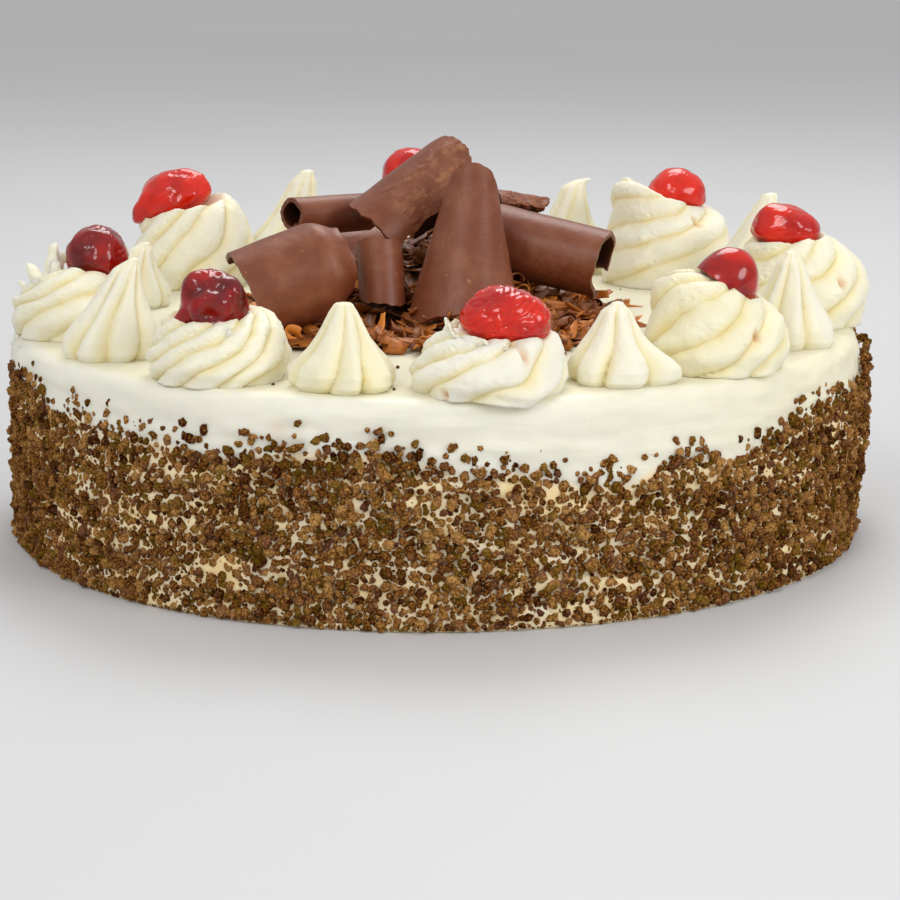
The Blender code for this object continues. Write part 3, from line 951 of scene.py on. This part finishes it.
def makeKiss(number):
    name = f"kiss_{number}"
    shape = kissShapes[number]
    low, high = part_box(name)
    height = (high.z - low.z) * 1.01
    radius = (high.y - low.y) / 2 * 1.05
    # the foot's middle: the box takes in a tip that leans out past the foot
    footX = high.x - radius / 1.05 if high.x - low.x < 2.1 * radius / 1.05 else low.x + radius / 1.05
    middle = Vector((footX, (low.y + high.y) / 2, low.z))
    piped, _, turn, polar = newBall(f"pipedKiss{number}", shape["ridges"] * 20, 90)
    climb = np.clip((polar - 0.14) / 0.86, 0, 1)
    widths = [shape["tip"] if w is None else w for w in kissWidths]
    reach = np.interp(climb, kissLevels, widths)
    blunt = np.sqrt(np.clip(1 - ((climb - 0.96) / 0.04) ** 2, 0, 1))
    reach = np.where(climb > 0.96, shape["tip"] * blunt, reach)
    reach = np.where(polar < 0.14, smooth(0, 0.14, polar) * 0.92, reach)
    seed = number * 9.1 + 100
    drift = 0.05 * ripple(roundPoints(turn, climb), 1.5, seed)
    phase = shape["ridges"] * (turn / math.tau - 0.06 * climb + drift) + 0.3 * number
    crest = np.abs(np.sin(np.pi * phase)) ** 0.72
    lobes = ripple(roundPoints(turn, climb * 2, 1.6), 1.2, seed + 5)
    depth = shape["depth"] * (1 + 0.5 * lobes) * (1 - 0.6 * smooth(0.7, 1.0, climb))
    side, extra = shape["wide"]
    reach = reach * (1 - depth * (1 - crest)) * (1 + 0.12 * lobes * (1 - climb))
    reach = reach * (1 + extra * towards(turn, side, 38) * (1 - smooth(0.15, 0.6, climb)))
    place = aroundSpots(radius * reach, turn, height * climb)
    place[:, 0] += shape["lean"] * mm * climb**1.7 + shape["hook"] * mm * smooth(0.82, 1.0, climb) ** 2
    place[:, 2] -= 0.25 * shape["hook"] * mm * smooth(0.94, 1.0, climb)
    place += np.array(middle) - np.array([0, 0, 0.4 * mm])
    place[:, :2] += (0.15 * mm * ripple(place, 500, seed) * (1 - 0.5 * climb))[:, None]
    setPoints(piped, place)
    # painted shade: the grooves are made yellower, less towards the tip
    setAttribute(piped, "hollow", np.clip((1 - crest) ** 1.1 * (0.9 + 0.5 * lobes) * (1 - 0.5 * climb), 0, 1))
    setAttribute(piped, "stain", 0)
    setAttribute(piped, "peach", 0)
    setAttribute(piped, "warm", shape["warmth"])
    outward(piped)
    hand(piped, cream, "cream", name)


for number in range(1, 9):
    makeKiss(number)
print("kisses piped")


# corners that stand out: the way they point, how far and how broad
cherryHorns = {
    3: [((0.8, -0.3, 0.25), 0.10, 0.45), ((-0.6, -0.3, 0.7), 0.05, 0.5)],
    6: [((-0.95, -0.2, -0.25), 0.14, 0.4)],
    7: [((0.75, -0.2, -0.6), 0.12, 0.35), ((-0.7, -0.3, 0.5), 0.06, 0.4)],
    8: [
        ((-0.92, -0.35, -0.25), 0.26, 0.28),
        ((-0.45, -0.3, 0.85), 0.12, 0.35),
        ((0.75, -0.3, 0.6), 0.10, 0.35),
        ((0.8, -0.3, -0.55), 0.08, 0.35),
    ],
}


def makeCherry(number):
    shape = cherryShapes[number]
    centre, half = cherrySpot(number)
    berry, spots, *_ = newBall(f"candiedCherry{number}", 120, 80)
    seed = number * 5.3 + 40
    pucker = ripple(spots, 1.3, seed) + 0.4 * ripple(spots, 3.1, seed + 1)
    slant = np.stack([spots[:, 0] + spots[:, 2], spots[:, 1], (spots[:, 2] - 0.8 * spots[:, 0]) * 3.4], 1)
    folds = 1 - np.abs(ripple(slant, 2.0, seed + 3))
    size = 1 + shape["pucker"] * pucker - shape["wrinkle"] * (folds**4 - 0.4)
    for way, stands, broad in cherryHorns.get(number, ()):
        near = np.linalg.norm(spots - np.array(Vector(way).normalized()), axis=1)
        size += stands * hill(near, 0, broad) - 0.3 * stands * hill(near, 2 * broad, broad)
    pitted = np.zeros(len(spots))
    if number == stonedCherry:
        hole = np.array(Vector((-0.02, -0.98, 0.05)).normalized())
        near = np.linalg.norm(spots - hole, axis=1)
        rays = 0.6 + 0.6 * ripple(spots * 3, 1.0, 3)
        pitted = hill(near, 0, 0.24)
        size += -0.24 * pitted + 0.10 * rays * hill(near, 0.46, 0.15)
        size -= 0.06 * hill(near, 0.78, 0.14)
    spots = spots * size[:, None]
    under = spots[:, 2] < 0
    below, over = (0.10, 1.9) if number == halvedCherry else (0.7, 1.3)
    spots[:, 2] = np.where(under, spots[:, 2] * below, spots[:, 2] * over)
    tiltX, tiltY = (math.radians(t) for t in shape["tilt"])
    tilt = Matrix.Rotation(tiltY, 3, "Y") @ Matrix.Rotation(tiltX, 3, "X")
    place = (spots * np.array(shape["size"]) / 2 * mm) @ np.array(tilt).T
    if number == halvedCherry:  # its round side lies where a whole cherry's would
        place += np.array(centre) + np.array([half.x, 0, half.z]) - place.max(0) * np.array([1, 0, 1])
    else:
        place += np.array(centre) - (place.max(0) + place.min(0)) / 2
    setPoints(berry, place)
    # painted shade in the deepest wrinkle folds, none in the pit
    setAttribute(berry, "hollow", np.clip(folds**6 * shape["wrinkle"] * 10, 0, 0.6) * (1 - pitted))
    outward(berry)
    hand(berry, cherryReds[shape["red"]], "cherry", f"cherry_{number}")


for number in range(1, 9):
    makeCherry(number)
print("cherries made")


# ends of the roll's axis and the way its back faces, in mm; radius at each end; the angles the roll
# starts and stops at; how much its radius grows in a turn; how far its corners are rounded off at the
# start and at the end, in mm; how far its last quarter closes in
curlShapes = {
    "curl_front": ((7, -24, 57), (10.5, -10, 100.5), (0.05, -1, 0.3), 15.8, 7.8, -80, 78, 0, -1, 11, 0),
    "curl_left": ((-52, -36, 69.5), (-24.5, -25, 78), (-0.3, -0.65, 0.7), 12.3, 13.2, -78, 125, 3, 1, 3, 0.3),
    "curl_slab": ((-18, -3, 79.5), (8, 12, 99), (-0.35, -0.8, 0.45), 12.0, 11.0, -62, 60, 0, 2, 7, 0),
    "curl_post": ((-14.4, -22.2, 66.5), (-15.5, -18, 82), (-0.2, -1, 0.1), 6.2, 6.4, -100, 100, 0, 2, 2, 0),
    "curl_right": ((17, 7, 79), (47, -4.5, 73.2), (0.1, -0.7, 0.7), 9.8, 9.6, -150, 150, 0, 0, 1, 0),
    "curl_roll": ((-40, -4, 86.8), (-19, 13, 86.2), (0.1, -0.4, 1), 5.2, 5.0, -250, 170, 1.6, 0, 0, 0),
    "curl_prop": ((-37, 8, 57), (-35, 9, 74), (-0.6, 0.5, 0), 8.0, 7.4, -120, 120, 0, 0, 2, 0),
    "curl_ridge": ((17, 21, 83), (32, 22, 81.5), (0.2, 0.2, 1), 8.0, 7.0, -70, 60, 0, 1, 2, 0),
    "curl_back": ((2, 46, 56), (4, 31, 95), (0.1, 1, 0.5), 14.0, 8.0, -80, 80, 0, 0, 8, 0),
    "curl_back_left": ((-17, 50, 67.5), (-41, 38, 67), (-0.1, 0.6, 0.7), 10.0, 9.5, -140, 130, 0, 1, 1, 0),
}
curlCut = {"thickness": 1.3 * mm, "around": 72, "along": 48, "ragged": 0.8 * mm, "chips": 0.25 * mm}
# how much is cut off the start at its last side, or left on, in mm
slants = {"curl_front": 6.5, "curl_post": -3.5}
# the scraped part: from and to along the curl, and from how far round; elsewhere the curls are clean
roughCurls = {"curl_slab": (0.15, 0.95, 0.30), "curl_ridge": (0, 1, 0)}
notRough = (2, 3, 2)


def makeCurl(name):
    start, end, back, startRadius, endRadius, first, last, growth, *rest = curlShapes[name]
    roundStart, roundEnd, closing = rest
    start, end, back = Vector(start) * mm, Vector(end) * mm, Vector(back)
    along = (end - start).normalized()
    facing = (back - back.dot(along) * along).normalized()
    across = along.cross(facing)
    length = (end - start).length
    curl, flat = newGrid(curlCut["around"], curlCut["along"], 2)
    curl.name = "chocolate" + name.title().replace("_", "")
    sweep, run = (flat[:, 0] + 1) / 2, (flat[:, 1] + 1) / 2
    seed = len(name) * 3.3 + start.x / mm
    rim = flatPoints(sweep * 6, run * 2)
    tear = curlCut["ragged"] * ripple(rim, 1.6, seed) + curlCut["chips"] * ripple(rim, 7.0, seed + 4)
    side = flatPoints(0 * run, run * 5)
    drag = 0.04 * ripple(side, 1.2, seed + 8) + 0.012 * ripple(side, 6.0, seed + 9)
    share = sweep + drag * (2 * sweep - 1)
    turn = np.radians(first + (last - first) * share)
    warp = 1 + 0.03 * ripple(flatPoints(sweep * 2, run * 2), 1.2, seed + 2)
    reach = (startRadius + (endRadius - startRadius) * run) * mm * warp + growth * mm * turn / math.tau
    reach *= 1 - closing * smooth(0.72, 1.0, run) ** 1.5
    fromEnd, toEnd, fromSide = roughCurls.get(name, notRough)
    broken = smooth(fromEnd, fromEnd + 0.15, run) * (1 - smooth(toEnd, toEnd + 0.1, run))
    broken *= smooth(fromSide, fromSide + 0.2, sweep)
    broken = np.clip(broken * (0.7 + 0.9 * ripple(flatPoints(sweep * 4, run * 4), 1.5, 3)), 0, 1)
    crags = flatPoints(sweep * 30, run * 26)
    reach += broken * mm * (0.5 * ripple(crags, 0.5, 17) + 0.3 * ripple(crags, 1.1, 19))
    corner = np.abs(2 * sweep - 1) ** 2.6
    far = length * run + tear * (2 * run - 1)
    far += slants.get(name, 0) * mm * sweep * (1 - run) ** 3
    far += roundStart * mm * corner * (1 - run) ** 2 - roundEnd * mm * corner * run**2
    place = np.array(start) + far[:, None] * np.array(along)
    place += (reach * np.cos(turn))[:, None] * np.array(facing)
    place += (reach * np.sin(turn))[:, None] * np.array(across)
    setPoints(curl, place)
    edge = np.maximum(np.exp(-run / 0.025), np.exp(-(1 - run) / 0.025))
    edge = np.maximum(edge, np.maximum(np.exp(-sweep / 0.015), np.exp(-(1 - sweep) / 0.015)))
    setAttribute(curl, "edge", np.clip(edge, 0, 1) * 0.6)
    setAttribute(curl, "inside", 0)
    setAttribute(curl, "rough", broken)
    pick(curl)
    middle = np.array(start + end) / 2
    outer = points(curl) - middle
    facingOut = np.array([v.vector for v in curl.data.vertex_normals])
    if (outer * facingOut).sum() < 0:
        editAll(curl)
        bpy.ops.mesh.flip_normals()
        bpy.ops.object.mode_set(mode="OBJECT")
    count = len(curl.data.vertices)
    applyModifier(curl, "SOLIDIFY", thickness=curlCut["thickness"], offset=-1)
    # painted shade: the faces that solidify adds on the inside get the dark inside colour
    shadedInside = np.zeros(len(curl.data.vertices))
    shadedInside[count:] = 1
    curl.data.attributes["inside"].data.foreach_set("value", shadedInside.astype(np.float32))
    bpy.ops.object.shade_smooth_by_angle(angle=math.radians(50))
    hand(curl, chocolate, "chocolate", name)


for name in curlShapes:
    makeCurl(name)
print("curls rolled")


shavingHeap = {
    "seed": 5,
    "radius": 54 * mm,
    "core": 0.74,  # how far out the dark core reaches
    # gaps at the foot of the curls, where the heap is lower and its shavings fewer and darker with painted
    # shade: across, back and radius in mm
    "hollows": [(-15.5, -27, 11), (6, -42, 9)],
    "right": 47 * mm,  # few shavings lie further right than this
    # painted shade: shavings nearer the middle than this, under the curls, are darker
    "shaded": (14 * mm, 30 * mm),  # they are darker inside this, and light from the second distance on
    # name, number, smallest and largest, how high they lie over the heap
    "slivers": ("shavingSlivers", 480, 7 * mm, 16 * mm, 1.8 * mm),
    "flakes": ("shavingFlakes", 230, 3.5 * mm, 9 * mm, 1.8 * mm),
    "rings": ("shavingRings", 60, 3.5 * mm, 6.5 * mm, 2.4 * mm),
}


def heapShare(x, y):
    # 0 in the middle of a hollow, 1 away from them
    hollows = shavingHeap["hollows"]
    gaps = (math.hypot(x / mm - across, y / mm - back) / radius for across, back, radius in hollows)
    return 1 - math.exp(-(min(gaps) ** 2))


def heapHeight(x, y):
    # how high the heap stands over the cream
    steps = (0.0, 0.27, 0.50, 0.74, 0.97, 1.1)
    heights = (20.0, 16.0, 6.5, 2.2, 0.8, 0.0)
    reach = math.hypot(x, y - 8 * mm * max(0, 1 - math.hypot(x, y) / shavingHeap["radius"]))
    height = float(np.interp(reach / shavingHeap["radius"], steps, heights)) * mm
    return height * (0.2 + 0.8 * heapShare(x, y))


def makeHeapCore():
    core, _, turn, polar = newBall("shavingCore", 160, 60)
    share = np.where(polar < 0.15, polar / 0.15, (1 - polar) / 0.85)
    ragged = 1 + 0.10 * ripple(roundPoints(turn), 3, 3)
    reach = shavingHeap["radius"] * shavingHeap["core"] * share * ragged
    x, y = reach * np.sin(turn), -reach * np.cos(turn)
    top = np.array([heapHeight(a, b) for a, b in zip(x, y)]) * 0.78 - 0.6 * mm
    place = np.stack([x, y, np.where(polar < 0.15, 0, np.maximum(top, 0.1 * mm))], 1)
    place[:, 2] += np.where(polar < 0.15, 0, 1.3 * mm * ripple(place, 260, 3) * (1 - share))
    place[:, 2] += cakeSize["height"] - 0.2 * mm
    setPoints(core, place)
    # painted shade: the core under the shavings takes the darkest shaving colour, for the shade between them
    setAttribute(core, "tone", 0)
    outward(core)
    hand(core, shaved, "shavings", "shavings")


def stripShape(seed, bend, twist, along=9, around=3):
    # a thin bent strip, 1 long, as a few dozen faces
    strip, spots = newGrid(along, around)
    dice = random.Random(seed)
    run, wide = spots[:, 0] + 0.5, spots[:, 1]
    width = dice.uniform(0.07, 0.15) * (0.4 + 0.7 * np.sin(np.pi * np.clip(run, 0.03, 0.97)) ** 0.6)
    width *= 1 + 0.35 * ripple(flatPoints(run * 6), 1.0, seed * 3.0)
    curve = bend * (run - 0.5)
    roll = twist * (run - 0.5) + dice.uniform(-0.5, 0.5)
    x = np.sin(curve) / max(bend, 0.01)
    z = (1 - np.cos(curve)) / max(bend, 0.01)
    place = np.stack([x, wide * width * np.cos(roll) * 2, z + wide * width * np.sin(roll) * 2], 1)
    place[:, 2] += 0.8 * width * wide**2
    place[:, 1] += dice.uniform(-0.12, 0.12) * np.sin(np.pi * run)
    setPoints(strip, place)
    applyModifier(strip, "SOLIDIFY", thickness=0.022, offset=0)
    return triangles(strip)


def flakeShape(seed):
    # a broken thin flake, about 1 across
    flake, spots = newGrid(4, 4)
    spots[:, :2] *= 1 + 0.6 * ripple(spots, 2.0, seed * 4.4)[:, None]
    spots[:, 0] *= random.Random(seed + 3).uniform(1.0, 1.6)
    arch = random.Random(seed).uniform(-1, 1.5)
    spots[:, 2] = 0.35 * spots[:, 0] ** 2 * arch + 0.12 * ripple(spots, 3, seed)
    setPoints(flake, spots)
    applyModifier(flake, "SOLIDIFY", thickness=0.06, offset=0)
    return triangles(flake)


def ringShape(seed):
    # a tiny curl, 1 long
    ring, spots = newGrid(14, 2)
    dice = random.Random(seed)
    turn = (spots[:, 0] + 0.5) * math.radians(dice.uniform(240, 420))
    reach = 0.36 + 0.05 * turn / math.tau
    place = np.stack([reach * np.cos(turn), spots[:, 1] * dice.uniform(0.4, 0.9), reach * np.sin(turn)], 1)
    place[:, 1] += 0.05 * turn
    setPoints(ring, place)
    applyModifier(ring, "SOLIDIFY", thickness=0.05, offset=0)
    return triangles(ring)


def scatterShavings(kinds, name, count, small, large, lift):
    dice = random.Random(shavingHeap["seed"] + count)
    placings = []
    while len(placings) < count:
        turn = dice.uniform(0, math.tau)
        reach = shavingHeap["radius"] * 1.05 * math.sqrt(dice.random())
        ragged = 1 + 0.14 * noise.noise(Vector((3 * math.sin(turn), -3 * math.cos(turn), 0)))
        x, y = reach * ragged * math.sin(turn), -reach * ragged * math.cos(turn)
        size = dice.uniform(small, large)
        free = heapShare(x, y)
        if dice.random() > free + 0.1 or (x > shavingHeap["right"] and dice.random() < 0.85):
            continue
        height = cakeSize["height"] + heapHeight(x, y) + lift * dice.uniform(0.1, 1.2)
        spin = Matrix.Rotation(dice.uniform(0, math.tau), 4, "Z")
        spin = spin @ Matrix.Rotation(dice.gauss(0, 0.26), 4, "Y")
        spin = spin @ Matrix.Rotation(dice.gauss(0, 0.5), 4, "X")
        matrix = Matrix.Translation((x, y, height)) @ spin @ Matrix.Scale(size, 4)
        # painted shade: the tone is lowered in the hollows and under the curls
        paintedHeapShade = min(1, 0.6 + free) * (0.4 + 0.6 * float(smooth(*shavingHeap["shaded"], reach)))
        kind = dice.randrange(len(kinds))
        placings.append((kind, matrix, min(1, max(0, dice.gauss(0.55, 0.28))) * paintedHeapShade))
    piece = copiesAsOne(name, kinds, placings)
    spots = points(piece)
    spots[:, 2] = np.maximum(spots[:, 2], cakeSize["height"] - 0.1 * mm)
    setPoints(piece, spots)
    hand(piece, shaved, "shavings")
    print(name, len(piece.data.polygons), "faces")


makeHeapCore()
strips = [stripShape(seed, 0.3 + 0.28 * (seed % 5), 0.6 * (seed % 4)) for seed in range(12)]
scatterShavings(strips, *shavingHeap["slivers"])
scatterShavings([flakeShape(seed) for seed in range(8)], *shavingHeap["flakes"])
scatterShavings([ringShape(seed) for seed in range(6)], *shavingHeap["rings"])


studio = {
    "floor": srgb(205, 205, 206),
    "floorPatch": srgb(212, 212, 212),
    "world": 0.50,
    "cameraAim": Vector((0, 0, 19.4)) * mm,
    "cameraDistance": 767 * mm,
    "cameraPitch": math.radians(12.45),
    "cameraYaw": math.radians(0.30),
    "cameraRoll": math.radians(0.09),
    "lens": 108,
}


def addLight(name, spot, aim, width, power, colour=(1, 1, 1)):
    data = bpy.data.lights.new(name, "AREA")
    data.shape = "DISK"
    data.size = width
    data.energy = power
    data.color = colour
    lamp = bpy.data.objects.new(name, data)
    lamp.location = spot
    lamp.rotation_euler = (Vector(aim) - Vector(spot)).to_track_quat("-Z", "Y").to_euler()
    bpy.context.scene.collection.objects.link(lamp)


deselectAll()
bpy.ops.mesh.primitive_plane_add(size=9, location=(0, 0, -0.0002))
floor = bpy.context.object
floor.name = "studioFloor"
settle(floor)
floorPaint = Paint("studioFloor")
floorShade = floorPaint.blend(floorPaint.noise(3, 2), studio["floor"], studio["floorPatch"])
floor.data.materials.append(floorPaint.finish(Base_Color=floorShade, Roughness=0.6))

world = bpy.data.worlds.new("studioWorld")
world.use_nodes = True
world.node_tree.nodes["Background"].inputs[0].default_value = (1, 1, 1, 1)
world.node_tree.nodes["Background"].inputs[1].default_value = studio["world"]
bpy.context.scene.world = world

skyLight = bpy.data.lights.new("skyLight", "SUN")  # a wide, even light over everything
skyLight.energy = 0.48
skyLight.angle = math.radians(120)
sky = bpy.data.objects.new("skyLight", skyLight)
sky.rotation_euler = (math.radians(18), math.radians(-6), 0)
bpy.context.scene.collection.objects.link(sky)
addLight("keyLight", (-0.40, -0.85, 0.85), (0, 0, 0.05), 0.40, 2.8, (1.0, 0.99, 0.98))
addLight("fillLight", (0.8, -0.6, 0.5), (0, 0, 0.05), 0.5, 3.6, (0.99, 0.99, 1.0))
addLight("topLight", (0.1, 0.6, 0.9), (0, 0, 0.06), 0.6, 4.4)
addLight("glintLight", (-0.22, -1.0, 0.50), (0, 0, 0.07), 0.12, 0.5)

cameraData = bpy.data.cameras.new("camera")
cameraData.lens = studio["lens"]
cameraData.sensor_width = 36
camera = bpy.data.objects.new("camera", cameraData)
pitch = studio["cameraPitch"]
back = Vector((0, -math.cos(pitch), math.sin(pitch)))
camera.location = studio["cameraAim"] + back * studio["cameraDistance"]
straight = Matrix.Rotation(math.pi / 2 - pitch, 4, "X")
yaw = Matrix.Rotation(-studio["cameraYaw"], 4, "Y")
roll = Matrix.Rotation(-studio["cameraRoll"], 4, "Z")
camera.rotation_euler = (straight @ yaw @ roll).to_euler()
bpy.context.scene.collection.objects.link(camera)
bpy.context.scene.camera = camera
bpy.context.scene.view_settings.view_transform = "Standard"
print("stage set")
